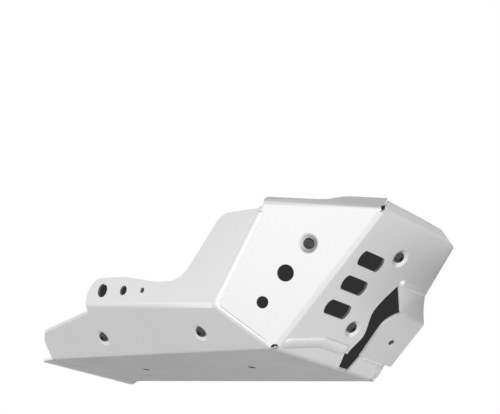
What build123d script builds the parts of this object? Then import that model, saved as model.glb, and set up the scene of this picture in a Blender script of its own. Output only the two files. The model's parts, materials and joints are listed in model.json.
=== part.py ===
"""Motorcycle skid plate: a folded lower pan, a folded front shell welded over it, an exhaust
bridge welded across the cut-out, the weld runs and the button-head screws.

X points forward, Y to the left and Z up. The origin is the middle of the footprint.
"""
import os
from math import atan2, cos, radians, sin, tan

from build123d import *

# Sheet and folds, in mm.
sheet = 3.0
bend = 5.0

# Lower pan: half widths at the rear bend and at the chin bend, and the slope of the flanks.
floor_length = 384.0
floor_rear, floor_front = 73.0, 88.6
flank_angle = 43.0
lip_length, lip_drop, lip_corner, lip_inset, lip_flare = 15.5, 3.9, 4.0, 1.0, 6.0
flank_tail, flank_rear, flank_front, flank_corner, side_corner = 5.0, 100.0, 123.0, 20.0, 6.0
drain_x, drain_r = (96.0, 276.0), 4.6

# Sides of the pan: half widths at the two bends, then the outline seen from the side.
side_rear, side_front = 132.0, 127.0
side_start, side_hump, side_low, side_top = 121.5, 81.5, 69.5, 140.0
hump_end, hump_fall, dip_start, dip_end, climb_end = 185.0, 2.5, 240.0, 276.5, 325.0
hump_corner, side_blend, climb_blend, top_corner = 22.0, 60.0, 35.0, 24.0
side_holes = ((148.4, 65.4, 8.0), (185.0, 63.3, 5.5), (217.0, 61.6, 3.0))

# Chin of the pan: height of the plate's lower edge over the bend, the lap behind it and the slot.
chin_height, chin_lap, chin_inset, chin_slope = 22.0, 14.0, 8.6, 10.0
chin_turn, chin_tab, chin_corner = -29.0, 54.0, 1.6
slot_floor, slot_near, slot_far, slot_flare = 1.5, 21.0, 38.0, 5.0

# Front shell: lean of the plate, sweep and overhang of the wings, height and turn of the top flange.
front_angle = 53.7
wing_sweep, wing_lean = 29.3, 13.5
top_bend = 145.0
flange_angle = 30.0
flange_rear, flange_front, flange_plate = 7.6, 13.0, 9.0
flange_start, flange_stop = ((-19.5, -4.0), (-18.5, 4.0)), 100.0
flange_narrow, flange_wide = ((-15.5, 0.0), (36.0, 0.0), (48.0, 0.6)), ((62.0, -0.8), (70.0, 0.0))
flange_fall, flange_runout = ((-80.0, 0.0), (0.0, -0.6), (36.0, -1.6)), (62.0, 80.0)
relief_r, slit, corner_hole, tip_inset, plate_corner = 2.6, 1.6, 4.5, 5.6, (77.0, 40.0)
corner_round, corner_drop, corner_depth, corner_slope = 8.0, 3.7, 1.0, 0.82
wing_holes = ((9.7, 78.0, 8.75), (-12.5, 46.4, 6.25))
slot_y, slot_top, slot_pitch, slot_step = -37.0, 126.3, 30.6, -1.0
slot_length, slot_height, slot_bulge, slot_corner = 31.0, 17.4, 3.4, 4.0

# Exhaust cut-out in the plate: its far side, its top and the waves of its near side.
cutout_far, cutout_top = 62.0, 113.0
cutout_near = ((17.0, 18.0), (17.6, 32.5), (21.5, 45.6), (18.3, 59.3), (12.2, 76.0), (14.1, 91.0))
cutout_corner = 22.0

# Exhaust bridge: its ends up the front, the angle and length of its lower face, its outline.
bridge_foot, bridge_top = 24.0, 117.0
bridge_angle, bridge_reach = 42.0, 67.0
bridge_near, bridge_far = 37.5, 93.8
bridge_shoulder, bridge_waist, bridge_end = (82.0, 88.0), (74.0, 103.0), (14.0, 72.0, 130.0)
bridge_notch, bridge_hollow, bridge_bulge = (37.0, 90.0), (31.0, 85.0), (26.6, 76.0, 66.0)
bridge_hole, bridge_hole_y, bridge_hole_rise = 3.5, 61.0, 30.0

# Screws in pressed seats: M6 button heads.
thread_r, shank_length, neck_r, neck_length = 3.0, 20.0, 2.5, 4.0
head_r, head_height, head_rim, head_flat, head_dome = 6.0, 3.3, 1.0, 2.6, 7.0
socket_width, socket_depth = 4.0, 2.0
hole_r, seat_r, dish_r, seat_depth = 3.3, 6.8, 11.0, 2.4
flank_screws = ((121.4, 26.0), (290.0, 24.0))
wing_screw = (31.8, 109.6)
plate_screws = (142.0, 51.0)

# Weld runs: radius of the bead, how far its centre lies below the surface, and where runs end.
bead_r, bead_sink = 3.0, 1.7
chin_weld_end, bridge_weld_low, bridge_weld_top = 14.0, (44.0, 84.0), (23.0, 70.0)

# Rear bend of the floor and outer face of the floor, from the origin.
rear_x = -239.5
floor_z = lip_drop

fold = bend + sheet
beyond = 2 * side_rear
taper = (floor_front - floor_rear) / floor_length
toe = (side_rear - side_front) / floor_length
rise = tan(radians(flank_angle))
lean, swept, over = radians(front_angle), radians(wing_sweep), radians(wing_lean)
front_x = rear_x + floor_length
RIGHT, LEFT = -1, 1
HANDS = (RIGHT, LEFT)

# Sketch planes at the rear end of the floor, seen from above and from the right.
plan = Plane(origin=(rear_x, 0, floor_z))
profile = Plane(origin=(rear_x, 0, floor_z), x_dir=(1, 0, 0), z_dir=(0, -1, 0))

# The outer face of every panel, its Z axis pointing out of the part.
floor = Plane(origin=(rear_x, 0, floor_z), x_dir=(1, 0, 0), z_dir=(0, 0, -1))
front = Plane(origin=(front_x, 0, floor_z), x_dir=(0, 1, 0), z_dir=(sin(lean), 0, -cos(lean)))
plate = front.offset(sheet)
flank, side, wing, wing_flange = {}, {}, {}, {}
for hand in HANDS:
    flank[hand] = Plane(
        origin=(rear_x, hand * floor_rear, floor_z),
        x_dir=(1, hand * taper, 0),
        z_dir=(-rise * taper, hand * rise, -1),
    )
    side[hand] = Plane(
        origin=(rear_x, hand * side_rear, floor_z), x_dir=(1, -hand * toe, 0), z_dir=(toe, hand, 0)
    )
    wing[hand] = Plane(
        origin=(front_x, hand * floor_front, floor_z),
        x_dir=(-hand * cos(swept), sin(swept), 0),
        z_dir=(sin(swept) * cos(over), hand * cos(swept) * cos(over), -sin(over)),
    )
    wing_flange[hand] = Plane(
        wing[hand].location * Pos(0, top_bend / cos(over), 0) * Rot(-flange_angle, 0, 0)
    )
plate_top = (top_bend + sheet * cos(lean)) / sin(lean)
plate_flange = Plane(plate.location * Pos(0, plate_top, 0) * Rot(-flange_angle, 0, 0))


def level(height):
    """Horizontal plane at a height over the floor."""
    return Plane(origin=(0, 0, floor_z + height))


def meet(first, second, third):
    """Point where three planes cross."""
    one, two, three = first.z_dir, second.z_dir, third.z_dir
    total = (
        two.cross(three) * one.dot(first.origin)
        + three.cross(one) * two.dot(second.origin)
        + one.cross(two) * three.dot(third.origin)
    )
    return total * (1 / one.dot(two.cross(three)))


def block(faces, inset, radius):
    """Solid behind a set of outward planes, its edges between those planes rounded."""
    walls = [face.offset(-inset) for face in faces]
    with BuildPart() as body:
        Box(4 * floor_length, 6 * side_rear, 6 * top_bend)
        for wall in walls:
            split(bisect_by=wall, keep=Keep.BOTTOM)
        folds = [
            edge
            for edge in body.edges().filter_by(GeomType.LINE)
            if sum(abs(wall.to_local_coords(edge @ 0.5).Z) < 1e-4 for wall in walls) == 2
        ]
        if radius:
            fillet(folds, radius)
    return body.part


def folded(faces):
    """Sheet metal along a set of outward planes, bent where they meet."""
    with BuildPart() as body:
        add(block(faces, 0, fold))
        add(block(faces, sheet, bend), mode=Mode.SUBTRACT)
    return body.part


def pressed_seat():
    """Dished ring of sheet round a screw hole, its rim level with the XY plane."""
    low = -seat_depth
    with BuildPart() as ring:
        with BuildSketch(Plane.XZ):
            with BuildLine():
                Polyline(
                    (hole_r, low), (seat_r, low), (dish_r, 0), (dish_r, -sheet),
                    (seat_r, low - sheet), (hole_r, low - sheet), close=True,
                )
            make_face()
        revolve(axis=Axis.Z)
    return ring.part


def weld_run(points, pieces):
    """Round bead along a line of points, less the pieces that it lies on."""
    with BuildPart() as bead:
        for start, end in zip(points, points[1:]):
            length = (end - start).length
            with Locations(Plane(origin=start, z_dir=end - start).location):
                Cylinder(bead_r, length, align=(Align.CENTER, Align.CENTER, Align.MIN))
        for turn in points[1:-1]:
            with Locations(turn):
                Sphere(bead_r)
        for piece in pieces:
            add(piece, mode=Mode.SUBTRACT)
    return bead.solids().sort_by(SortBy.VOLUME)[-1]


def on_flank(hand, x, slant):
    """Location on a flank, measured from the rear bend and up the slant from the floor bend."""
    across = floor_rear + taper * x + slant * cos(radians(flank_angle))
    up = floor_z + slant * sin(radians(flank_angle))
    spot = flank[hand].to_local_coords(Vector(rear_x + x, hand * across, up))
    return flank[hand].location * Pos(spot.X, spot.Y, 0)


pan_seats = [on_flank(hand, x, slant) for hand in HANDS for x, slant in flank_screws]
shell_seats = [wing[hand].location * Pos(-hand * wing_screw[0], wing_screw[1]) for hand in HANDS]
shell_seats += [plate.location * Pos(0, height) for height in plate_screws]
seat = pressed_seat()

# Lower pan: floor, flanks, sides and chin folded from one sheet, with a turned-down rear lip.
def rear_lip():
    """Strip of sheet turned down from the rear bend, flared, its two far corners rounded."""
    drop = atan2(lip_drop, lip_length)
    root = floor_rear - lip_inset
    tail = root + 2 * lip_flare
    with BuildPart() as strip:
        with BuildSketch(profile):
            with BuildLine():
                Polyline(
                    (sheet, 0), (0, 0), (-lip_length, -lip_drop),
                    (-lip_length - sheet * sin(drop), sheet * cos(drop) - lip_drop),
                    (-sheet * tan(drop / 2), sheet), (sheet, sheet), close=True,
                )
            make_face()
        extrude(amount=tail, both=True)
        with BuildSketch(plan):
            for hand in HANDS:
                with BuildLine():
                    Polyline(
                        (2 * sheet, hand * root), (0, hand * root), (-2 * lip_length, hand * tail),
                        (-2 * lip_length, hand * beyond), (2 * sheet, hand * beyond), close=True,
                    )
                make_face()
        extrude(amount=beyond, both=True, mode=Mode.SUBTRACT)
        fillet(strip.faces().sort_by(Axis.X)[0].edges().filter_by(Axis.Y, reverse=True), lip_corner)
    return strip.part


chin_half = floor_front - chin_inset
lap_top = chin_height + chin_lap
foot_top = bridge_foot + sheet
with BuildPart() as lower_pan:
    add(folded([floor, front] + [panel[hand] for panel in (flank, side) for hand in HANDS]))
    for hand in HANDS:
        split(bisect_by=wing[hand].offset(-sheet), keep=Keep.BOTTOM)
    split(bisect_by=Plane.YZ.offset(rear_x), keep=Keep.TOP)
    # Outline of the sides.
    with BuildSketch(profile):
        with BuildLine():
            flank_top = rise * (side_rear - floor_rear)
            heel = min(hump_corner, 0.9 * (side_hump - flank_top))
            FilletPolyline(
                (-beyond, -beyond), (-beyond, flank_top), (side_start, flank_top), (side_start, side_hump),
                (hump_end, side_hump - hump_fall), (dip_start, side_low), (dip_end, side_low),
                (climb_end, side_top), (floor_length + beyond, side_top), (floor_length + beyond, -beyond),
                radius=(0, 0, 0, heel, side_blend, side_blend, climb_blend, top_corner, 0, 0),
                close=True,
            )
        make_face()
    extrude(amount=beyond, both=True, mode=Mode.INTERSECT)
    # Rear outline of the flanks.
    with BuildSketch(plan):
        for hand in HANDS:
            with BuildLine():
                FilletPolyline(
                    (-beyond, hand * beyond), (side_start, hand * beyond), (side_start, hand * flank_front),
                    (flank_tail, hand * flank_rear), (0, hand * floor_rear), (-beyond, hand * floor_rear),
                    radius=(0, 0, side_corner, flank_corner, 0, 0), close=True,
                )
            make_face()
    extrude(amount=beyond, both=True, mode=Mode.SUBTRACT)
    add(rear_lip())
    # Outline of the chin, with the slot for the exhaust.
    with BuildSketch(front):
        with Locations((0, -slot_floor)):
            Rectangle(beyond, beyond, align=(Align.CENTER, Align.MIN))
        with BuildLine():
            FilletPolyline(
                (-chin_half, -beyond), (-chin_half, chin_height / 4), (chin_slope - chin_half, lap_top),
                (slot_near - 2 * slot_flare, lap_top), (slot_near, slot_floor), (slot_far, slot_floor),
                (slot_far + slot_flare, foot_top), (cutout_far, foot_top), (cutout_far, chin_tab),
                (chin_half - chin_slope, chin_tab), (chin_half, chin_height - sheet), (chin_half, -beyond),
                radius=chin_corner, close=True,
            )
        make_face(mode=Mode.SUBTRACT)
    extrude(amount=3 * sheet, both=True, mode=Mode.SUBTRACT)
    # Round holes and screw seats.
    with BuildSketch(profile):
        for x, z, radius in side_holes:
            with Locations((x, z)):
                Circle(radius)
    extrude(amount=beyond, both=True, mode=Mode.SUBTRACT)
    with BuildSketch(plan):
        with Locations(*[(x, 0) for x in drain_x]):
            Circle(drain_r)
    extrude(amount=2 * sheet, both=True, mode=Mode.SUBTRACT)
    with Locations(*pan_seats):
        Cylinder(dish_r, 5 * sheet, mode=Mode.SUBTRACT)
        add(seat)

# Front shell: plate and two wings folded from one sheet, with a flange turned in along the top.
neck = level(top_bend - sheet)
crown = level(top_bend + flange_front)
corners = {}
for hand in HANDS:
    out = plate.z_dir + wing[hand].z_dir
    seam = plate_flange.z_dir.cross(wing_flange[hand].z_dir)
    corner = meet(plate, wing[hand], level(top_bend))
    corners[hand] = Plane(origin=corner, x_dir=seam.cross(out), z_dir=out)

turned = cos(radians(flange_angle))
flange_low = top_bend / cos(over)
flange_mid = flange_low + flange_rear * turned
flange_high = flange_low + flange_front * turned
plate_high = plate_top + flange_plate * turned


def mitre(hand, gap):
    """Plane across the corner of the top flange, half the slit to one side of it."""
    return Plane(corners[hand].location * Pos(gap / 2, 0, 0) * Rot(0, 90, 0))


def plate_strip():
    """Upper edge of the plate with its flange, which runs out before the left corner."""
    with BuildPart() as strip:
        add(folded([plate, plate_flange]))
        split(bisect_by=neck, keep=Keep.TOP)
        split(bisect_by=crown, keep=Keep.BOTTOM)
        for hand in HANDS:
            split(bisect_by=mitre(hand, -slit), keep=Keep.BOTTOM)
        with BuildSketch(plate.offset(fold)):
            with BuildLine():
                edge = [(y, plate_high + fall) for y, fall in flange_fall]
                edge += [(y, plate_top - sheet) for y in flange_runout]
                above = plate_top + beyond
                Polyline(*edge, (edge[-1][0], above), (edge[0][0], above), close=True)
            make_face()
        extrude(amount=-5 * fold, mode=Mode.SUBTRACT)
    return strip.part


def wing_strip(hand):
    """Upper edge of a wing with its flange, which is wider in front."""
    front_end = flange_high if hand == RIGHT else flange_low - sheet
    with BuildPart() as strip:
        add(folded([wing[hand], wing_flange[hand]]))
        split(bisect_by=neck, keep=Keep.TOP)
        split(bisect_by=crown, keep=Keep.BOTTOM)
        split(bisect_by=side[hand], keep=Keep.BOTTOM)
        split(bisect_by=mitre(hand, slit), keep=Keep.TOP)
        with BuildSketch(wing[hand].offset(fold)):
            with BuildLine():
                edge = [(-beyond, flange_low + flange_start[0][1])]
                edge += [(u, flange_low + lift) for u, lift in flange_start]
                edge += [(u, flange_mid + lift) for u, lift in flange_narrow]
                edge += [(u, flange_high + lift) for u, lift in flange_wide]
                edge += [(flange_stop, front_end), (beyond, front_end)]
                edge += [(beyond, flange_low + beyond), (-beyond, flange_low + beyond)]
                Polyline(*[(-hand * u, v) for u, v in edge], close=True)
            make_face()
        extrude(amount=-5 * fold, mode=Mode.SUBTRACT)
    return strip.part


half, high = slot_length / 2, slot_height / 2
with BuildSketch() as slot:
    with BuildLine():
        Line((-half, high), (half, high))
        ThreePointArc((half, high), (half + slot_bulge, 0), (half, -high))
        Line((half, -high), (-half, -high))
        ThreePointArc((-half, -high), (-half - slot_bulge, 0), (-half, high))
    make_face()
    fillet(slot.vertices(), slot_corner)

knees = {hand: meet(wing[hand], flank[hand], side[hand]) for hand in HANDS}
tip_half = floor_front - tip_inset
with BuildPart() as front_shell:
    add(folded([plate, wing[RIGHT], wing[LEFT]]))
    split(bisect_by=neck, keep=Keep.BOTTOM)
    split(bisect_by=floor, keep=Keep.BOTTOM)
    for hand in HANDS:
        split(bisect_by=flank[hand], keep=Keep.BOTTOM)
        split(bisect_by=side[hand], keep=Keep.BOTTOM)
    for hand in HANDS:
        knee_edges = front_shell.edges().sort_by_distance(knees[hand])[:3]
        fillet(knee_edges.sort_by(SortBy.LENGTH)[0], fold)
    add(plate_strip())
    for hand in HANDS:
        add(wing_strip(hand))
    # Rounded upper corner on the left, where the flange has run out.
    with BuildSketch(mitre(LEFT, 0)):
        with BuildLine():
            reach = 2 * fold
            FilletPolyline(
                (corner_depth, -reach), (corner_depth, -corner_drop),
                (corner_depth + reach, reach * corner_slope - corner_drop),
                (corner_depth + reach, 2 * reach), (-reach, 2 * reach), (-reach, -reach),
                radius=(0, corner_round, 0, 0, 0, 0), close=True,
            )
        make_face()
    extrude(amount=reach, both=True, mode=Mode.SUBTRACT)
    # Relief holes at the upper corner and at the two lower corners.
    with Locations(corners[RIGHT].location):
        Cylinder(relief_r, 5 * fold, mode=Mode.SUBTRACT)
    for hand in HANDS:
        tip = meet(plate, wing[hand], level(0))
        with Locations(Plane(origin=tip, z_dir=plate.z_dir + wing[hand].z_dir).location):
            Cylinder(corner_hole, 3 * fold, mode=Mode.SUBTRACT)
    # Lower edge of the plate and the exhaust cut-out.
    with BuildSketch(plate.offset(sheet)):
        with BuildLine():
            Polyline(
                (-tip_half, -beyond), (-tip_half, sheet), (2 * sheet - tip_half, 3 * sheet),
                (chin_turn, chin_height), (cutout_near[0][0] + bend, chin_height),
                (cutout_far - sheet, plate_corner[1]), plate_corner,
                (tip_half, sheet), (tip_half, -beyond), close=True,
            )
        make_face()
        with BuildLine():
            Spline(*cutout_near, (cutout_corner, cutout_top))
            Polyline(
                (cutout_corner, cutout_top), (cutout_far, cutout_top), (cutout_far, cutout_near[0][1]),
                cutout_near[0],
            )
        make_face()
    extrude(amount=-4 * sheet, mode=Mode.SUBTRACT)
    # Oblong slots with bowed ends, on the right half of the plate.
    with BuildSketch(plate.offset(sheet)):
        with Locations(*[(slot_y + row * slot_step, slot_top - row * slot_pitch) for row in range(3)]):
            add(slot.sketch)
    extrude(amount=-4 * sheet, mode=Mode.SUBTRACT)
    # Round holes and screw seats.
    for hand in HANDS:
        with BuildSketch(wing[hand].offset(sheet)):
            for u, v, radius in wing_holes:
                with Locations((-hand * u, v)):
                    Circle(radius)
        extrude(amount=-4 * sheet, mode=Mode.SUBTRACT)
    with Locations(*shell_seats):
        Cylinder(dish_r, 5 * sheet, mode=Mode.SUBTRACT)
        add(seat)

# Exhaust bridge: a strap folded once, its foot on the chin and its upper end on the plate.
low = radians(bridge_angle)
foot = plate.from_local_coords((0, bridge_foot, 0))
apex = foot + Vector(cos(low), 0, sin(low)) * bridge_reach
rest = plate.from_local_coords((0, bridge_top, 0)) - apex
lower_face = Plane(origin=foot, x_dir=(0, 1, 0), z_dir=(sin(low), 0, -cos(low)))
upper_face = Plane(origin=apex, x_dir=(0, 1, 0), z_dir=(rest.Z, 0, -rest.X))
with BuildPart() as exhaust_bridge:
    with BuildSketch(front):
        with BuildLine():
            Polyline((bridge_near, bridge_foot), (bridge_far, bridge_foot), bridge_shoulder)
            end_near, end_far, end_top = bridge_end
            ThreePointArc(bridge_shoulder, bridge_waist, (end_far, end_top))
            Polyline((end_far, end_top), (end_near, end_top), bridge_notch)
            bulge, bulge_top, bulge_low = bridge_bulge
            Spline(
                bridge_notch, bridge_hollow, (bulge, bulge_top), (bulge, bulge_low),
                tangents=((-1, -0.3), (0.1, -1)),
            )
            Line((bulge, bulge_low), (bridge_near, bridge_foot))
        make_face()
    extrude(amount=bridge_reach)
    add(folded([lower_face, upper_face]), mode=Mode.INTERSECT)
    add(front_shell.part, mode=Mode.SUBTRACT)
    add(lower_pan.part, mode=Mode.SUBTRACT)
    with Locations(lower_face.location * Pos(bridge_hole_y, bridge_hole_rise, 0)):
        Cylinder(bridge_hole, 5 * sheet, mode=Mode.SUBTRACT)

# Weld runs: along both wings, along the plate's lower edge and at both ends of the bridge.
with BuildPart() as wing_welds:
    for hand in HANDS:
        chine = (wing[hand].z_dir + flank[hand].z_dir).normalized() * -bead_sink
        edge = (wing[hand].z_dir + side[hand].z_dir).normalized() * -bead_sink
        tip = meet(wing[hand], flank[hand], level(bend)) + chine
        head = meet(wing[hand], side[hand], level(side_top - bead_r)) + edge
        corner = knees[hand] + (chine + edge) * 0.5
        before = corner + (tip - corner).normalized() * bend
        after = corner + (head - corner).normalized() * bend
        add(weld_run([tip, before, after, head], [block([wing[hand], flank[hand], side[hand]], 0, 0)]))

welded = [lower_pan.part, front_shell.part, exhaust_bridge.part]
chin_seam = front.offset(sheet / 4)
with BuildPart() as chin_weld:
    ends = [(3 * sheet - tip_half, 3 * sheet), (chin_turn, chin_height), (chin_weld_end, chin_height)]
    add(weld_run([chin_seam.from_local_coords((y, s, 0)) for y, s in ends], welded))

with BuildPart() as bridge_welds:
    add(weld_run([chin_seam.from_local_coords((y, bridge_foot, 0)) for y in bridge_weld_low], welded))
    over_top = bridge_top + sheet / 3
    add(weld_run([plate.from_local_coords((y, over_top, 0)) for y in bridge_weld_top], welded))

# Button-head screws, all alike, one in each pressed seat.
with BuildPart() as screw:
    with BuildSketch(Plane.XZ):
        with BuildLine():
            Line((0, head_height), (head_flat, head_height))
            RadiusArc((head_flat, head_height), (head_r, head_rim), head_dome)
            Polyline(
                (head_r, head_rim), (head_r, 0), (neck_r, 0), (neck_r, -neck_length),
                (thread_r, -neck_length), (thread_r, -shank_length), (0, -shank_length), (0, head_height),
            )
        make_face()
    revolve(axis=Axis.Z)
    with BuildSketch(Plane.XY.offset(head_height)):
        RegularPolygon(socket_width / 2, 6, major_radius=False)
    extrude(amount=-socket_depth, mode=Mode.SUBTRACT)
with BuildPart() as screws:
    with Locations(*[spot * Pos(0, 0, -seat_depth) for spot in pan_seats + shell_seats]):
        add(screw.part)

os.makedirs("parts", exist_ok=True)
lower_pan.part.label = "lower_pan"
export_step(lower_pan.part, "parts/lower_pan.step")
front_shell.part.label = "front_shell"
export_step(front_shell.part, "parts/front_shell.step")
exhaust_bridge.part.label = "exhaust_bridge"
export_step(exhaust_bridge.part, "parts/exhaust_bridge.step")
wing_welds.part.label = "wing_welds"
export_step(wing_welds.part, "parts/wing_welds.step")
chin_weld.part.label = "chin_weld"
export_step(chin_weld.part, "parts/chin_weld.step")
bridge_welds.part.label = "bridge_welds"
export_step(bridge_welds.part, "parts/bridge_welds.step")
screws.part.label = "screws"
export_step(screws.part, "parts/screws.step")
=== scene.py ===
"""A motorcycle skid plate of folded and welded aluminium sheet, dressed around its CAD frame."""
import json
from math import atan2, cos, pi, radians, sin

import bmesh
import bpy
from mathutils import Matrix, Vector
from mathutils.bvhtree import BVHTree


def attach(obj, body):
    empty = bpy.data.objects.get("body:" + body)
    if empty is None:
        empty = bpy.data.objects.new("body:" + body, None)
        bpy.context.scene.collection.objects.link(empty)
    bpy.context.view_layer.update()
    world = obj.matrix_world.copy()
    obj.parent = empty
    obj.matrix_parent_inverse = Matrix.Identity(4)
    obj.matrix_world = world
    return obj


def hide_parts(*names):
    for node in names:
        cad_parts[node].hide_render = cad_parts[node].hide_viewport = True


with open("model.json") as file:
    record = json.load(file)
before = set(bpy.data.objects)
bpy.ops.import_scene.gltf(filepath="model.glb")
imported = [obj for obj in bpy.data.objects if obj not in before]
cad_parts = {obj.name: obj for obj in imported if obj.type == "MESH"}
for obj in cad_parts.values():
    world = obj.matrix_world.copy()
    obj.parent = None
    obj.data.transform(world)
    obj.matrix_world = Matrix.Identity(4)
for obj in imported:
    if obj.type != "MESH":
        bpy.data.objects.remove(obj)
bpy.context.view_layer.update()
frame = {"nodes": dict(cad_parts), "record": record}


# Lower pan: floor, flanks, sides and chin, cut and folded from one 3 mm sheet of bare aluminium.
# The sheet is blasted to an even satin, its cut edges are deburred smooth, the walls of its holes
# are painted dark as painted shade, and a round seat is pressed in for each screw.
class Wire:
    """An output in a node tree. Sums and products of wires add Math nodes."""

    def __init__(self, tree, socket):
        self.tree = tree
        self.socket = socket

    def node(self, kind, settings=None, output=0, **sockets):
        """A new node of a type, with its settings and then the values or links of its sockets."""
        made = self.tree.nodes.new(kind)
        for name, setting in (settings or {}).items():
            setattr(made, name, setting)
        for name, value in sockets.items():
            key = int(name[1:]) if name[1:].isdigit() else name.replace("_", " ")
            if isinstance(value, Wire):
                self.tree.links.new(value.socket, made.inputs[key])
            else:
                made.inputs[key].default_value = value
        return Wire(self.tree, made.outputs[output] if made.outputs else None)

    def math(self, operation, first, second=0.0):
        return self.node("ShaderNodeMath", {"operation": operation}, _0=first, _1=second)

    def __add__(self, other):
        return self.math("ADD", self, other)

    def __sub__(self, other):
        return self.math("SUBTRACT", self, other)

    def __mul__(self, other):
        return self.math("MULTIPLY", self, other)

    def __truediv__(self, other):
        return self.math("DIVIDE", self, other)

    def __rsub__(self, other):
        return self.math("SUBTRACT", other, self)

    __radd__ = __add__
    __rmul__ = __mul__


def new_material(name):
    """A material with no nodes but its Object coordinates, which are returned with it."""
    material = bpy.data.materials.new(name)
    material.use_nodes = True
    tree = material.node_tree
    tree.nodes.clear()
    place = tree.nodes.new("ShaderNodeTexCoord")
    return material, Wire(tree, place.outputs["Object"])


def grey(tone):
    """A neutral colour from one value."""
    return tone.node("ShaderNodeCombineColor", Red=tone, Green=tone, Blue=tone)


def noise(place, scale, detail=2.0):
    """Random values about 0 over the surface, finer as the scale goes up."""
    return place.node("ShaderNodeTexNoise", Vector=place, Scale=scale, Detail=detail) - 0.5


BUMP_DEPTH = 0.0002


def metal(place, tone, rough, height, relief):
    """Bare metal with a tone, a roughness and a relief, each varying over the surface."""
    bump = place.node("ShaderNodeBump", Strength=relief, Distance=BUMP_DEPTH, Height=height)
    shader = place.node(
        "ShaderNodeBsdfPrincipled", Base_Color=grey(tone), Roughness=rough, Metallic=1.0, Normal=bump
    )
    place.node("ShaderNodeOutputMaterial", Surface=shader)


SATIN_TONE, SATIN_ROUGH = 0.88, 0.42
EDGE_TONE, EDGE_ROUGH = 0.86, 0.34
# Hole walls get a tone far darker than the sheet: painted shade.
BORE_SHADE_TONE, BORE_ROUGH = 0.24, 0.5
STREAK_SCALE = (40.0, 900.0, 900.0)


def satin_sheet():
    """Blasted sheet: fine grain, faint clouds in the sheen and short rolling streaks."""
    material, place = new_material("satin_aluminium")
    clouds = noise(place, 16.0, detail=3.0)
    grain = noise(place, 2400.0)
    streaks = noise(place.node("ShaderNodeMapping", Vector=place, Scale=STREAK_SCALE), 1.0)
    tone = SATIN_TONE + 0.05 * clouds + 0.03 * streaks
    rough = SATIN_ROUGH + 0.08 * clouds + 0.06 * streaks
    metal(place, tone, rough, grain + 0.3 * streaks, relief=0.1)
    return material


def cut_edge():
    """Deburred edge of the sheet, smoother than its faces, with fine marks."""
    material, place = new_material("deburred_edge")
    marks = noise(place, 900.0)
    metal(place, EDGE_TONE + 0.1 * marks, EDGE_ROUGH + 0.15 * marks, marks, relief=0.12)
    return material


def bore_wall():
    """Wall of a hole, painted dark as painted shade, duller than the sheet and finely grooved."""
    material, place = new_material("painted_shade_bore")
    marks = noise(place, 1500.0)
    metal(place, BORE_SHADE_TONE + 0.1 * marks, BORE_ROUGH + 0.15 * marks, marks, relief=0.2)
    return material


MERGE = 0.00002
FLAT, SHARP, ACUTE = radians(0.4), radians(45), radians(25)
EASE, STRAY = 0.0003, 0.0007
EDGE_WIDTH, BORE_RIMS = 0.0048, 0.24
SHEET_FACE, CUT_FACE, BORE_FACE = range(3)
DISH_R, HOLE_R, DISH_DEPTH = 0.011, 0.0033, 0.0024
DISH_SLACK, DISH_REACH = 0.0001, 0.008
DISH_WALL = (0.0108, 0.0104, 0.0099, 0.0092, 0.0084, 0.0076, 0.007, 0.0065, 0.0061)
DISH_SOFT = 0.75
NECK = 0.004


def screw_seats():
    """Middle of each seat under its screw's head, and the way the screw points."""
    found = []
    for stud in frame["record"]["mounts"]:
        along = Vector(stud["axis"])
        length = stud["dims"]["length_mm"] / 1000
        found.append((Vector(stud["pos_m"]) - (NECK + length / 2) * along, along))
    return found


def press_dish(work, middle, along):
    """Rebuild a seat's straight cone as a soft pressed dish, with the hole in its middle."""
    aside = along.orthogonal().normalized()
    across = along.cross(aside)

    def polar(point):
        offset = point - middle
        depth = offset.dot(along)
        return (offset - depth * along).length, depth

    def inside(vert):
        radius, depth = polar(vert.co)
        return radius < DISH_R + DISH_SLACK and abs(depth) < DISH_REACH

    old = [face for face in work.faces if all(inside(vert) for vert in face.verts)]
    if not old:
        return
    bmesh.ops.delete(work, geom=old, context="FACES")
    rim = {vert for edge in work.edges if edge.is_boundary for vert in edge.verts}
    walls = []
    for outer in (True, False):
        ring = [vert for vert in rim if (polar(vert.co)[1] < -DISH_DEPTH / 2) == outer]
        ring.sort(key=lambda vert: atan2((vert.co - middle).dot(across), (vert.co - middle).dot(aside)))
        start = middle + polar(ring[0].co)[1] * along
        ways = [(vert.co - start).normalized() for vert in ring]
        for radius in DISH_WALL + (HOLE_R,):
            share = min(1, (DISH_WALL[0] - radius) / (DISH_WALL[0] - DISH_WALL[-1]))
            soft = share * share * (3 - 2 * share)
            depth = DISH_DEPTH * (DISH_SOFT * soft + (1 - DISH_SOFT) * share)
            fresh = [work.verts.new(start + radius * way + depth * along) for way in ways]
            for turn in range(len(ring)):
                work.faces.new((ring[turn - 1], ring[turn], fresh[turn], fresh[turn - 1]))
            ring = fresh
        walls.append(ring)
    for turn in range(len(walls[0])):
        work.faces.new((walls[0][turn - 1], walls[0][turn], walls[1][turn], walls[1][turn - 1]))
    bmesh.ops.recalc_face_normals(work, faces=work.faces)


def smooth_groups(work):
    """Sets of faces that run into each other without a sharp edge."""
    groups, seen = [], set()
    for start in work.faces:
        if start in seen:
            continue
        group, queue = [], [start]
        seen.add(start)
        while queue:
            face = queue.pop()
            group.append(face)
            for edge in face.edges:
                if edge.calc_face_angle(0) < SHARP:
                    for other in edge.link_faces:
                        if other not in seen:
                            seen.add(other)
                            queue.append(other)
        groups.append(group)
    return groups


def rim_count(rims):
    """Number of separate loops that some edges make."""
    loops = []
    for edge in rims:
        joined = set(edge.verts)
        apart = []
        for loop in loops:
            if loop & joined:
                joined |= loop
            else:
                apart.append(loop)
        loops = apart + [joined]
    return len(loops)


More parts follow.
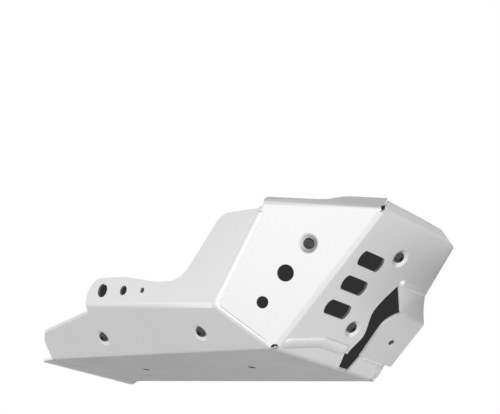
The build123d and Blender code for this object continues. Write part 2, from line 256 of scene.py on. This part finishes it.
def mark_cut_faces(work):
    """Mark narrow bands of faces: holes' walls, which are closed rings, and other cut edges."""
    for group in smooth_groups(work):
        inside = set(group)
        rims = [
            edge
            for face in group
            for edge in face.edges
            if not all(other in inside for other in edge.link_faces)
        ]
        outline = sum(edge.calc_length() for edge in rims)
        area = sum(face.calc_area() for face in group)
        narrow = 2 * area < EDGE_WIDTH * outline
        ring = narrow and outline < BORE_RIMS and rim_count(rims) == 2
        for face in group:
            face.material_index = BORE_FACE if ring else CUT_FACE if narrow else SHEET_FACE


def ease_edges(work):
    """Round off the cut edges, apart from corners too acute to take it."""
    skip = set()
    for face in work.faces:
        for corner in face.loops:
            if corner.calc_angle() < ACUTE:
                skip.update((corner.edge, corner.link_loop_prev.edge))
    cut = [edge for edge in work.edges if edge.calc_face_angle(0) > SHARP and edge not in skip]
    bmesh.ops.bevel(
        work, geom=cut, offset=EASE, segments=2, profile=0.5, affect="EDGES", material=CUT_FACE
    )


def add_object(name, data):
    """A new object in the scene."""
    made = bpy.data.objects.new(name, data)
    bpy.context.scene.collection.objects.link(made)
    return made


def plain_copy(piece):
    """Give the piece a mesh with its modifiers worked in."""
    shape = piece.evaluated_get(bpy.context.evaluated_depsgraph_get())
    mesh = bpy.data.meshes.new_from_object(shape)
    piece.modifiers.clear()
    piece.data = mesh


def folded_sheet(node, name):
    """A sheet's solid with soft seats, eased edges and smooth bends, in place of its CAD node."""
    mesh = frame["nodes"][node].data.copy()
    mesh.materials.clear()
    for material in sheet_finish:
        mesh.materials.append(material)
    work = bmesh.new()
    work.from_mesh(mesh)
    bmesh.ops.remove_doubles(work, verts=work.verts, dist=MERGE)
    bmesh.ops.dissolve_degenerate(work, edges=work.edges, dist=MERGE)
    bmesh.ops.dissolve_limit(work, angle_limit=FLAT, verts=work.verts, edges=work.edges)
    for middle, along in screw_seats():
        press_dish(work, middle, along)
    surface = BVHTree.FromBMesh(work)
    mark_cut_faces(work)
    ease_edges(work)
    for vert in work.verts:
        closest, _, _, apart = surface.find_nearest(vert.co)
        if apart > STRAY:
            vert.co = closest
    for face in work.faces:
        face.smooth = True
    work.to_mesh(mesh)
    work.free()
    piece = add_object(name, mesh)
    piece.modifiers.new("flat_panels", "WEIGHTED_NORMAL")
    plain_copy(piece)
    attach(piece, "root")
    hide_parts(node)


sheet_finish = (satin_sheet(), cut_edge(), bore_wall())
folded_sheet("lower_pan", "pan_sheet")


# Front shell: the slanted plate and two wings, folded from one sheet of the same aluminium.
# Its upper edge is turned in as a flange. It stands on the pan's chin and is welded along it.
folded_sheet("front_shell", "shell_sheet")


# Exhaust bridge: a strap of the same sheet, folded once so that it stands clear of the plate.
# Its two ends are welded over the cut-out.
folded_sheet("exhaust_bridge", "bridge_sheet")


# Wing welds: a bead of aluminium filler along each wing, from the tip, round the knee and up.
# The beads are laid by hand and lightly dressed, so their ripples are low and uneven.
FILLER_TONE, FILLER_ROUGH = 0.96, 0.38


def weld_metal():
    """Filler metal, brighter than the sheet, brushed after welding."""
    material, place = new_material("weld_bead")
    lumps = noise(place, 420.0, detail=3.0)
    fine = noise(place, 2600.0)
    tone = FILLER_TONE + 0.06 * lumps
    metal(place, tone, FILLER_ROUGH + 0.14 * lumps, lumps + 0.3 * fine, relief=0.25)
    return material


def new_tree(name, result, inputs):
    """A Geometry Nodes tree with one output, and its named inputs as wires."""
    tree = bpy.data.node_groups.new(name, "GeometryNodeTree")
    tree.interface.new_socket(result, in_out="OUTPUT", socket_type="NodeSocketGeometry")
    for label, kind in inputs.items():
        tree.interface.new_socket(label, in_out="INPUT", socket_type="NodeSocket" + kind)
    entry = tree.nodes.new("NodeGroupInput")
    return tree, {socket.name: Wire(tree, socket) for socket in entry.outputs if socket.name}


def run_tree(piece, tree, values):
    """Give the piece what a tree makes of it with some values of its inputs, as a plain mesh."""
    making = piece.modifiers.new(tree.name, "NODES")
    making.node_group = tree
    for socket in tree.interface.items_tree:
        if socket.name in values:
            making[socket.identifier] = values[socket.name]
    plain_copy(piece)


BEAD_SIDES, TURN_STEPS, LUMP_SCALE, TIP_SHARE = 20, 10, 180.0, 0.02


def bead_tree():
    """Geometry Nodes: a rippled bead with round ends along the lines of a mesh.

    Each point of the lines holds the way that the bead is pressed flat, as its attribute "up".
    """
    tree, given = new_tree("bead_along_path", "Bead", {
        "Path": "Geometry", "Radius": "Float", "Turn": "Float", "Step": "Float", "Pitch": "Float",
        "Ripple": "Float", "Lumps": "Float", "Height": "Float", "Metal": "Material",
    })
    start = given["Path"]
    line = start.node("GeometryNodeMeshToCurve", Mesh=start)
    line = line.node(
        "GeometryNodeFilletCurve", {"mode": "POLY"}, Curve=line, Count=TURN_STEPS,
        Radius=given["Turn"], Limit_Radius=True,
    )
    line = line.node("GeometryNodeResampleCurve", {"mode": "LENGTH"}, Curve=line, Length=given["Step"])
    run = line.node("GeometryNodeSplineParameter", output="Length")
    whole = line.node("GeometryNodeSplineLength", output="Length")
    end = run.math("MINIMUM", run, whole - run) / given["Radius"]
    end = end.math("MAXIMUM", end.math("MINIMUM", end, 1.0), TIP_SHARE)
    blunt = end.math("SQRT", end * (2.0 - end))
    wave = run.math("ABSOLUTE", run.math("SINE", run * pi / given["Pitch"]))
    lumps = run.node(
        "ShaderNodeTexNoise", {"noise_dimensions": "1D"}, W=run, Scale=LUMP_SCALE, Detail=2.0
    )
    swell = 1.0 + given["Ripple"] * (wave - 0.5) + given["Lumps"] * (lumps - 0.5)
    place = line.node("GeometryNodeInputPosition")
    line = line.node(
        "GeometryNodeStoreNamedAttribute", {"data_type": "FLOAT_VECTOR"}, Geometry=line, Name="spine",
        Value=place,
    )
    ring = run.node("GeometryNodeCurvePrimitiveCircle", Resolution=BEAD_SIDES, Radius=given["Radius"])
    bead = line.node(
        "GeometryNodeCurveToMesh", Curve=line, Profile_Curve=ring, Scale=blunt * swell, Fill_Caps=True
    )
    spine = bead.node("GeometryNodeInputNamedAttribute", {"data_type": "FLOAT_VECTOR"}, Name="spine")
    up = bead.node("GeometryNodeInputNamedAttribute", {"data_type": "FLOAT_VECTOR"}, Name="up")
    up = up.node("ShaderNodeVectorMath", {"operation": "NORMALIZE"}, _0=up)
    lift = place.node("ShaderNodeVectorMath", {"operation": "SUBTRACT"}, _0=place, _1=spine)
    lift = lift.node("ShaderNodeVectorMath", {"operation": "DOT_PRODUCT"}, output=1, _0=lift, _1=up)
    settle = lift.node(
        "ShaderNodeVectorMath", {"operation": "SCALE"}, _0=up, Scale=lift * (given["Height"] - 1.0)
    )
    bead = bead.node("GeometryNodeSetPosition", Geometry=bead, Offset=settle)
    for name in ("spine", "up"):
        bead = bead.node("GeometryNodeRemoveAttribute", Geometry=bead, Name=name)
    bead = bead.node("GeometryNodeSetShadeSmooth", Geometry=bead)
    bead = bead.node("GeometryNodeRealizeInstances", Geometry=bead)
    bead = bead.node("GeometryNodeSetMaterial", Geometry=bead, Material=given["Metal"])
    bead.node("NodeGroupOutput", Bead=bead)
    return tree


def lay_bead(name, node, runs, ups, sizes):
    """A weld piece: beads along runs of points, pressed flat along ups, in place of its CAD node."""
    points = [point for run in runs for point in run]
    lines, first = [], 0
    for run in runs:
        lines += [(first + step, first + step + 1) for step in range(len(run) - 1)]
        first += len(run)
    mesh = bpy.data.meshes.new(name)
    mesh.from_pydata(points, lines, [])
    flat = mesh.attributes.new("up", "FLOAT_VECTOR", "POINT")
    for mark, up in zip(flat.data, [up for run in ups for up in run]):
        mark.vector = up
    piece = add_object(name, mesh)
    run_tree(piece, beads, sizes)
    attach(piece, "root")
    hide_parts(node)


beads = bead_tree()
WING_RUN = ((0.1395, -0.0907, 0.0083), (0.09329, -0.12615, 0.04279), (0.14282, -0.12538, 0.14111))
WING_UPS = ((0.2421, -0.8208, -0.5177), (0.2536, -0.9103, -0.3263), (0.254, -0.9598, -0.1205))
WING_LIFT = 0.0006
HANDS = (1, -1)
wing_ups = [[Vector((x, hand * y, z)) for x, y, z in WING_UPS] for hand in HANDS]
wing_runs = [
    [Vector((x, hand * y, z)) + WING_LIFT * up for (x, y, z), up in zip(WING_RUN, ups)]
    for hand, ups in zip(HANDS, wing_ups)
]
wing_bead = {
    "Radius": 0.0036, "Turn": 0.007, "Step": 0.0005, "Pitch": 0.0026, "Ripple": 0.02, "Lumps": 0.14,
    "Height": 0.47, "Metal": weld_metal(),
}
lay_bead("wing_beads", "wing_welds", wing_runs, wing_ups, wing_bead)


# Chin weld: the plate's lower edge laps over the pan's chin and is welded to it with the same filler.
# This run is ground back to a wide, soft band that slopes from the plate down to the chin.
PLATE_OUT = Vector((0.806, 0.0, -0.592))
PLATE_UP = Vector((0.592, 0.0, 0.806))
CHIN_RUN = ((0.1494, -0.08, 0.0093), (0.15813, -0.029, 0.02119), (0.15813, 0.014, 0.02119))
CHIN_LEAN, CHIN_RISE, CHIN_LIFT = 0.2, 0.003, 0.0012
chin_up = (cos(CHIN_LEAN) * PLATE_OUT - sin(CHIN_LEAN) * PLATE_UP).normalized()
chin_run = [Vector(point) + CHIN_RISE * PLATE_UP + CHIN_LIFT * PLATE_OUT for point in CHIN_RUN]
chin_bead = dict(
    wing_bead, Radius=0.0075, Turn=0.016, Step=0.0008, Pitch=0.0034, Ripple=0.01, Lumps=0.06, Height=0.27
)
lay_bead("chin_bead", "chin_weld", [chin_run], [[chin_up] * len(chin_run)], chin_bead)


# Bridge welds: one bead along the strap's foot on the chin and one along its upper end.
# They are laid by hand with the same filler, straight across the strap, and left a little higher
# than the run under the plate.
FOOT_RUN = ((0.15931, 0.044, 0.0228), (0.15931, 0.084, 0.0228))
TOP_RUN = ((0.21678, 0.023, 0.09722), (0.21678, 0.07, 0.09722))
bridge_runs = [[Vector(point) for point in run] for run in (FOOT_RUN, TOP_RUN)]
bridge_ups = [[PLATE_OUT] * len(run) for run in bridge_runs]
bridge_bead = dict(wing_bead, Radius=0.0045, Turn=0.0, Height=0.45)
lay_bead("bridge_beads", "bridge_welds", bridge_runs, bridge_ups, bridge_bead)


# Screws: M6 button heads of black-finished steel with a hexagon socket, each in a pressed seat.
# The thread is rolled. It starts below a plain neck, and its end is chamfered.
SCREW_TONE, SCREW_ROUGH = 0.085, 0.26


def screw_metal():
    """Steel with a satin black oxide finish and a fine turned grain."""
    material, place = new_material("black_oxide")
    patches = noise(place, 500.0, detail=3.0)
    fine = noise(place, 4000.0)
    metal(place, SCREW_TONE + 0.05 * patches, SCREW_ROUGH + 0.2 * patches, fine, relief=0.15)
    return material


SIDES = 36
HEAD = ((0.006, 0.0), (0.006, 0.0009), (0.0058, 0.0013), (0.0054, 0.0018), (0.0048, 0.0024),
        (0.0041, 0.0029), (0.0034, 0.0032), (0.0027, 0.0033))
SOCKET_HALF, SOCKET_FLOOR, SOCKET_EASE = 0.002, 0.0013, 0.0002
NECK_R, THREAD_R, THREAD_DEPTH, PITCH = 0.0025, 0.003, 0.0005, 0.001
THREAD_STEPS, CHAMFER, SHANK = 6, 0.0006, 0.02


def ring_of(work, radius_at, height):
    """Ring of vertices round Z, its radius given for each angle."""
    ring = []
    for side in range(SIDES):
        angle = 2 * pi * side / SIDES
        radius = radius_at(angle)
        ring.append(work.verts.new((radius * cos(angle), radius * sin(angle), height)))
    return ring


def hexagon(half):
    """Radius of a hexagon of a given half width, for each angle."""
    return lambda angle: half / cos((angle + pi / 6) % (pi / 3) - pi / 6)


def thread(height, top):
    """Radius of the rolled thread at a height, for each angle, thinned towards its ends."""
    room = min(1.0, (top - height) / PITCH, (height + SHANK) / CHAMFER)

    def radius_at(angle):
        turn = (height / PITCH - angle / (2 * pi)) % 1.0
        depth = THREAD_DEPTH * (1 - abs(2 * turn - 1))
        return NECK_R + (THREAD_R - NECK_R - depth) * max(room, 0.0)

    return radius_at


def screw_mesh():
    """One screw: socket, domed head, neck and thread, its head's seat at the origin."""
    work = bmesh.new()
    crown = HEAD[-1][1]
    rings = [
        ring_of(work, lambda angle: SOCKET_HALF / 2, SOCKET_FLOOR - SOCKET_HALF / 4),
        ring_of(work, hexagon(SOCKET_HALF), SOCKET_FLOOR),
        ring_of(work, hexagon(SOCKET_HALF), crown - SOCKET_EASE),
        ring_of(work, hexagon(SOCKET_HALF + SOCKET_EASE), crown),
    ]
    rings += [ring_of(work, lambda angle, r=radius: r, height) for radius, height in reversed(HEAD)]
    rings += [ring_of(work, lambda angle: NECK_R, height) for height in (0.0, -NECK)]
    count = round((SHANK - NECK) / PITCH) * THREAD_STEPS
    for step in range(1, count + 1):
        height = -NECK - (SHANK - NECK) * step / count
        rings.append(ring_of(work, thread(height, -NECK), height))
    for upper, lower in zip(rings, rings[1:]):
        for side in range(SIDES):
            work.faces.new((upper[side - 1], upper[side], lower[side], lower[side - 1]))
    work.faces.new(rings[0])
    work.faces.new(rings[-1])
    bmesh.ops.recalc_face_normals(work, faces=work.faces)
    for edge in work.edges:
        edge.smooth = edge.calc_face_angle(0) < SHARP
    for face in work.faces:
        face.smooth = True
    mesh = bpy.data.meshes.new("screw")
    work.to_mesh(mesh)
    work.free()
    return mesh


def screw_tree():
    """Geometry Nodes: one screw set on each point, along its direction, turned at random."""
    tree, given = new_tree("screw_on_seat", "Screws", {
        "Seats": "Geometry", "Screw": "Object", "Turn Seed": "Int", "Metal": "Material",
    })
    start = given["Seats"]
    way = start.node("GeometryNodeInputNamedAttribute", {"data_type": "FLOAT_VECTOR"}, Name="outward")
    turn = start.node(
        "FunctionNodeRandomValue", {"data_type": "FLOAT"}, output=1, _2=0.0, _3=pi / 3,
        Seed=given["Turn Seed"],
    )
    spin = turn.node("FunctionNodeAxisAngleToRotation", Axis=(0.0, 0.0, 1.0), Angle=turn)
    stand = way.node("FunctionNodeAlignRotationToVector", {"axis": "Z"}, Rotation=spin, Vector=way)
    shape = start.node("GeometryNodeObjectInfo", output="Geometry", Object=given["Screw"])
    rows = start.node("GeometryNodeInstanceOnPoints", Points=start, Instance=shape, Rotation=stand)
    rows = rows.node("GeometryNodeRealizeInstances", Geometry=rows)
    rows = rows.node("GeometryNodeSetMaterial", Geometry=rows, Material=given["Metal"])
    rows.node("NodeGroupOutput", Screws=rows)
    return tree


pattern = add_object("screw_pattern", screw_mesh())
seat_mesh = bpy.data.meshes.new("screws_in_seats")
seat_mesh.from_pydata([middle for middle, along in screw_seats()], [], [])
outward = seat_mesh.attributes.new("outward", "FLOAT_VECTOR", "POINT")
for mark, (middle, along) in zip(outward.data, screw_seats()):
    mark.vector = -along
button_screws = add_object("button_screws", seat_mesh)
run_tree(button_screws, screw_tree(), {"Screw": pattern, "Turn Seed": 7, "Metal": screw_metal()})
bpy.data.objects.remove(pattern)
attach(button_screws, "root")
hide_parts("screws")


# Stage: a pale floor that shows from above, a white room, soft grey cards that the metal mirrors,
# a dark sheet of painted shade behind the openings, soft lamps, and the camera low down in front on the
# right.
FLOOR_HALF, FLOOR_PALE = 6.0, (0.85, 0.85, 0.85, 1.0)


def one_sided(place, front):
    """Finish a material that shows on the front of its faces and is clear from behind."""
    clear = place.node("ShaderNodeBsdfTransparent")
    behind = place.node("ShaderNodeNewGeometry", output="Backfacing")
    shown = place.node("ShaderNodeMixShader", _0=behind, _1=front, _2=clear)
    place.node("ShaderNodeOutputMaterial", Surface=shown)


def hide_from(thing, *rays):
    """Keep something of the stage out of some kinds of ray."""
    for kind in rays:
        setattr(thing, "visible_" + kind, False)


floor_mesh = bpy.data.meshes.new("floor")
floor_mesh.from_pydata(
    [(x * FLOOR_HALF, y * FLOOR_HALF, 0.0) for x, y in ((-1, -1), (1, -1), (1, 1), (-1, 1))],
    [], [(0, 1, 2, 3)],
)
floor_paint, place = new_material("pale_floor")
one_sided(place, place.node("ShaderNodeBsdfDiffuse", Color=FLOOR_PALE))
floor_mesh.materials.append(floor_paint)
floor = add_object("floor", floor_mesh)
hide_from(floor, "diffuse", "glossy", "transmission", "shadow")

AMBIENT = 0.45
world = bpy.data.worlds.new("white_room")
bpy.context.scene.world = world
world.use_nodes = True
world.node_tree.nodes.clear()
ray = world.node_tree.nodes.new("ShaderNodeLightPath")
camera_ray, glossy_ray, clear_ray = (
    Wire(world.node_tree, ray.outputs[name])
    for name in ("Is Camera Ray", "Is Glossy Ray", "Is Transmission Ray")
)
seen = camera_ray.math("MINIMUM", camera_ray + glossy_ray + clear_ray, 1.0)
room = seen.node(
    "ShaderNodeBackground", Color=(1.0, 1.0, 1.0, 1.0), Strength=AMBIENT + (1.0 - AMBIENT) * seen
)
room.node("ShaderNodeOutputWorld", Surface=room)


def grey_card(name, low, high, tones):
    """A card between two opposite corners that only reflections see, with a tone at each corner."""
    first, second = [axis for axis in range(3) if low[axis] != high[axis]]
    corners = [Vector(low) for tone in tones]
    for turn in (1, 2):
        corners[turn][first] = high[first]
    for turn in (2, 3):
        corners[turn][second] = high[second]
    mesh = bpy.data.meshes.new(name)
    mesh.from_pydata(corners, [], [(0, 1, 2, 3)])
    shade = mesh.attributes.new("shade", "FLOAT", "POINT")
    for corner, tone in zip(shade.data, tones):
        corner.value = tone
    paint, place = new_material(name)
    tone = place.node("ShaderNodeAttribute", {"attribute_name": "shade"}, output="Fac")
    glow = place.node("ShaderNodeEmission", Color=grey(tone), Strength=1.0)
    place.node("ShaderNodeOutputMaterial", Surface=glow)
    mesh.materials.append(paint)
    card = add_object(name, mesh)
    hide_from(card, "camera", "diffuse", "transmission", "shadow")


LEFT_Y, RIGHT_Y, LOW_Z, REAR_X, TOP_Z = 1.6, -6.0, -1.6, -3.5, 1.4
NEAR_Y, EDGE_Y = 0.15, 0.09
grey_card("left_card", (-4.0, LEFT_Y, -3.0), (3.0, LEFT_Y, TOP_Z), (0.07, 1.4, 0.62, 0.07))
grey_card("low_card", (REAR_X, RIGHT_Y, LOW_Z), (1.5, LEFT_Y, LOW_Z), (0.76, 0.8, 0.64, 0.5))
grey_card("rear_card", (REAR_X, RIGHT_Y, LOW_Z), (REAR_X, LEFT_Y, 3.0), (0.95, 0.74, 0.74, 0.95))
grey_card("top_card", (-2.0, -2.5, TOP_Z), (2.0, LEFT_Y, TOP_Z), (0.46, 0.46, 0.36, 0.36))
# The near and edge cards sit close to the plate's far side and darken its reflection there: painted
# shade.
grey_card("near_card", (0.24, NEAR_Y, -0.03), (0.325, NEAR_Y, 0.1), (0.3, 0.3, 0.3, 0.3))
grey_card("edge_card", (0.235, EDGE_Y, 0.07), (0.264, EDGE_Y, 0.15), (0.25, 0.25, 0.25, 0.25))

# The dark sheet under the rim is painted shade that stands in for the shade inside the part. It hangs
# under the rim, with patches of it behind the small holes and discs in the drains. It shows through
# the openings from below and in front, and can't be seen from above or from behind.
SHADE_SHEET_BLACK = (0.03, 0.03, 0.03, 1.0)
RIM = ((0.146, -0.112, 0.124), (0.249, -0.062, 0.157), (0.246, 0.062, 0.14), (0.146, 0.112, 0.124))
HEM = ((0.1, -0.105, 0.045), (0.128, -0.075, 0.012), (0.128, 0.075, 0.012), (0.1, 0.105, 0.045))
SIDE_PATCH = (
    (-0.112, 0.1262, 0.0785), (-0.012, 0.125, 0.0715),
    (-0.012, 0.1235, 0.0585), (-0.112, 0.1245, 0.0575),
)
TIP_PATCH = (
    (0.1408, 0.0805, 0.0069), (0.134, 0.0903, 0.0069),
    (0.1372, 0.0925, 0.0161), (0.144, 0.0827, 0.0161),
)
BRIDGE_PATCH = (
    (0.1777, 0.0565, 0.0411), (0.1777, 0.0655, 0.0411),
    (0.1844, 0.0655, 0.0472), (0.1844, 0.0565, 0.0472),
)
DRAINS, DRAIN_R, DRAIN_Z, DRAIN_SIDES = (-0.1435, 0.0365), 0.0045, 0.00405, 24
drain_turns = [2 * pi * side / DRAIN_SIDES for side in range(DRAIN_SIDES)]
shade_panels = [BRIDGE_PATCH]
shade_panels += [(RIM[turn], RIM[turn + 1], HEM[turn + 1], HEM[turn]) for turn in range(len(RIM) - 1)]
shade_panels += [
    [(x, hand * y, z) for x, y, z in patch] for hand in HANDS for patch in (SIDE_PATCH, TIP_PATCH)
]
shade_panels += [
    [(x + DRAIN_R * cos(turn), DRAIN_R * sin(turn), DRAIN_Z) for turn in drain_turns] for x in DRAINS
]
shade_work = bmesh.new()
for panel in shade_panels:
    face = shade_work.faces.new([shade_work.verts.new(point) for point in panel])
    face.normal_update()
    if face.normal.z > 0:
        face.normal_flip()
shade_mesh = bpy.data.meshes.new("black_cloth")
shade_work.to_mesh(shade_mesh)
shade_work.free()
black, place = new_material("black_cloth")
one_sided(place, place.node("ShaderNodeEmission", Color=SHADE_SHEET_BLACK, Strength=1.0))
shade_mesh.materials.append(black)
shade_sheet = add_object("black_cloth", shade_mesh)
hide_from(shade_sheet, "diffuse", "glossy", "transmission", "shadow")

LAMP_AIM = Vector((0.0, 0.0, 0.08))


def soft_lamp(name, place, width, height, power):
    """A rectangular soft box that looks at the part."""
    data = bpy.data.lights.new(name, "AREA")
    data.shape = "RECTANGLE"
    data.size, data.size_y, data.energy = width, height, power
    lamp = add_object(name, data)
    lamp.location = place
    lamp.rotation_euler = (LAMP_AIM - lamp.location).to_track_quat("-Z", "Y").to_euler()


soft_lamp("key_lamp", (0.6, -2.2, 0.0), width=1.8, height=1.6, power=2.2)
soft_lamp("top_lamp", (-0.3, 0.2, 2.4), width=2.0, height=2.0, power=20)

AZIMUTH, ELEVATION, ROLL = radians(44.74), radians(-16.82), radians(7.48)
AIM, DISTANCE, LENS = Vector((0.02449, -0.02473, 0.19012)), 1.346, 82.26
back = Vector((sin(AZIMUTH) * cos(ELEVATION), -cos(AZIMUTH) * cos(ELEVATION), sin(ELEVATION)))
right = Vector((cos(AZIMUTH), sin(AZIMUTH), 0.0))
axes = Matrix((right, back.cross(right), back)).transposed() @ Matrix.Rotation(ROLL, 3, "Z")
camera_data = bpy.data.cameras.new("camera")
camera_data.lens = LENS
camera = add_object("camera", camera_data)
camera.matrix_world = Matrix.Translation(AIM + DISTANCE * back) @ axes.to_4x4()
bpy.context.scene.camera = camera
bpy.context.scene.view_settings.view_transform = "Standard"
